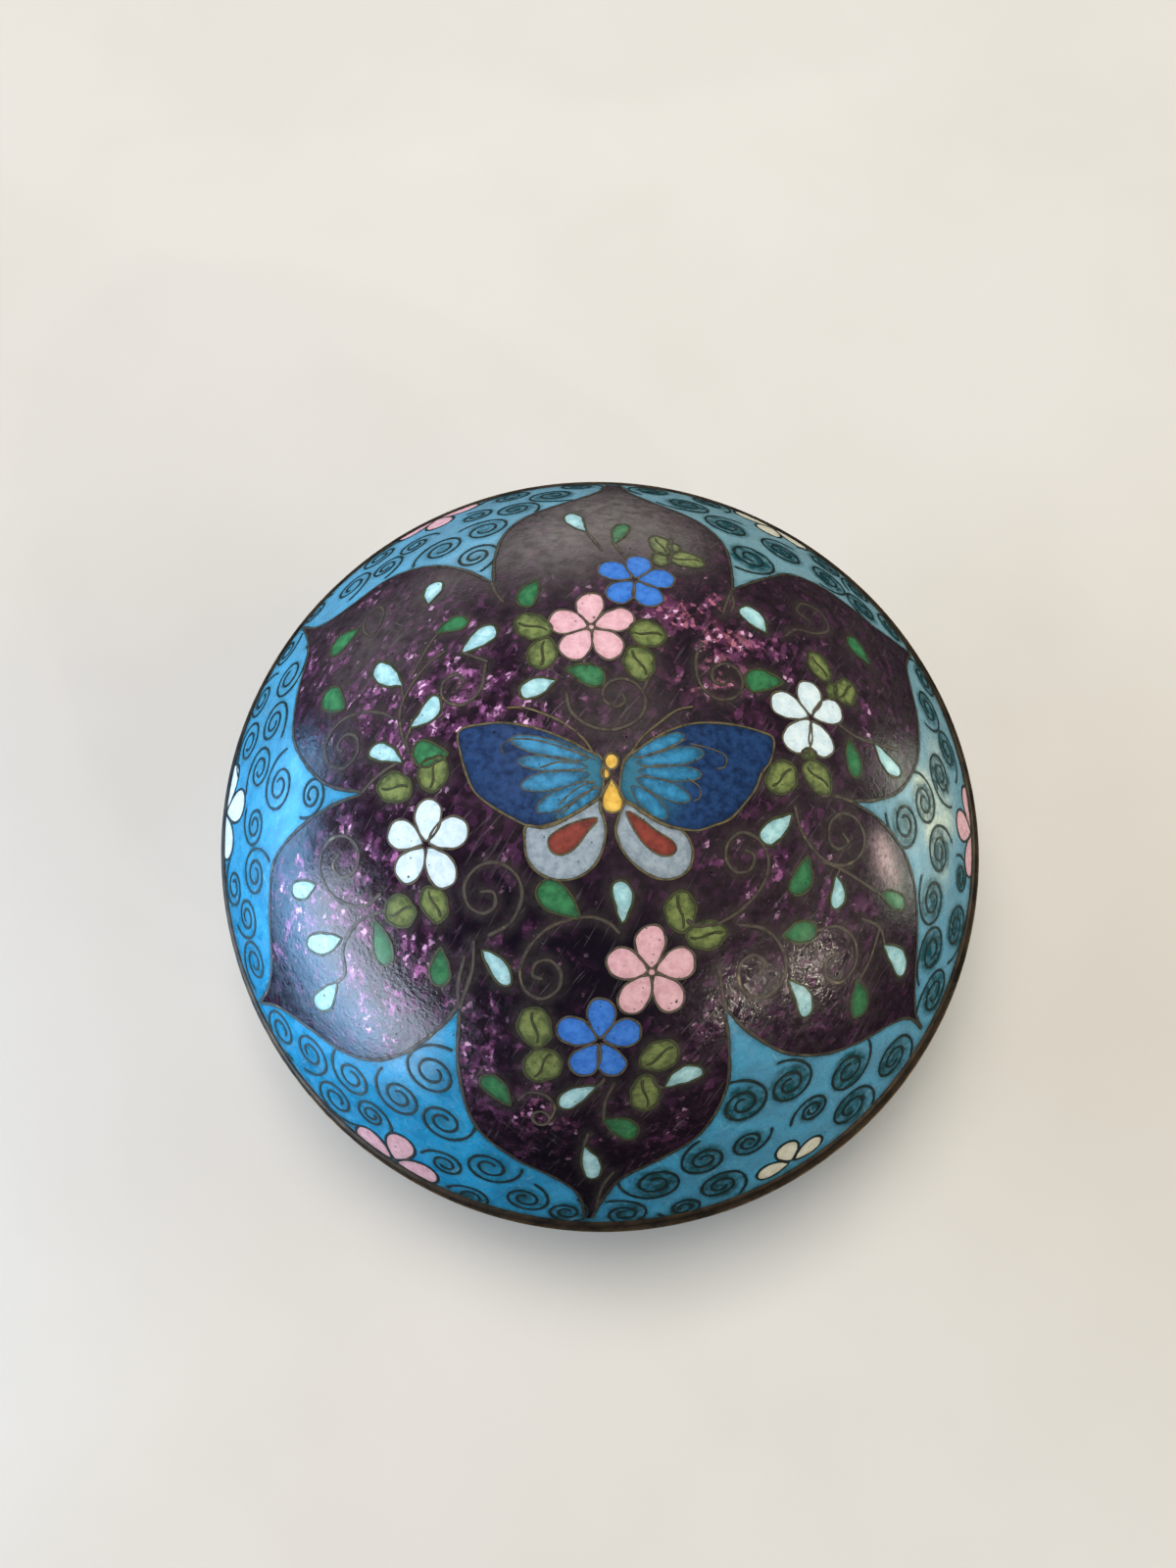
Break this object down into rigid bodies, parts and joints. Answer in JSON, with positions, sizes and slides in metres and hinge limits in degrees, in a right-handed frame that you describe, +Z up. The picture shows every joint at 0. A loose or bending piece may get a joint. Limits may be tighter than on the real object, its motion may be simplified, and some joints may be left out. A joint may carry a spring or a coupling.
{
  "type": "cloisonne enamel box",
  "caption": "Round box of metal and enamel with a domed lift-off lid, a shallow bowl with an upstanding collar, and a foot ring.",
  "frame": {"origin": "on the table under the middle of the foot ring", "axes": "+Z up along the axis of the bowl; -Y faces the viewer, so the butterfly on the lid has its head towards +Y"},
  "size_m": [0.1008, 0.1008, 0.053],
  "materials": {
    "aventurine_enamel": "dark purple translucent enamel over clustered spangles, polished, with fine scratches and a smoky haze",
    "turquoise_enamel": "opaque turquoise enamel, ground flush with its wires, semi-gloss",
    "picture_enamel": "opaque enamels of the flowers, leaves and butterfly, with small dark pinholes, semi-gloss",
    "counter_enamel": "plain turquoise enamel fired on the inside, slightly uneven",
    "partition_wire": "ground flush, oxidised dark with dirt along its edges",
    "dark_brass": "worn brass with a dark brown patina, brighter along its edges"
  },
  "bodies": {
    "root": {"lid_dome": "aventurine_enamel", "lid_rim": "dark_brass", "bowl": "turquoise_enamel", "bowl_rim": "dark_brass", "foot_ring": "dark_brass"}
  },
  "joints": []
}
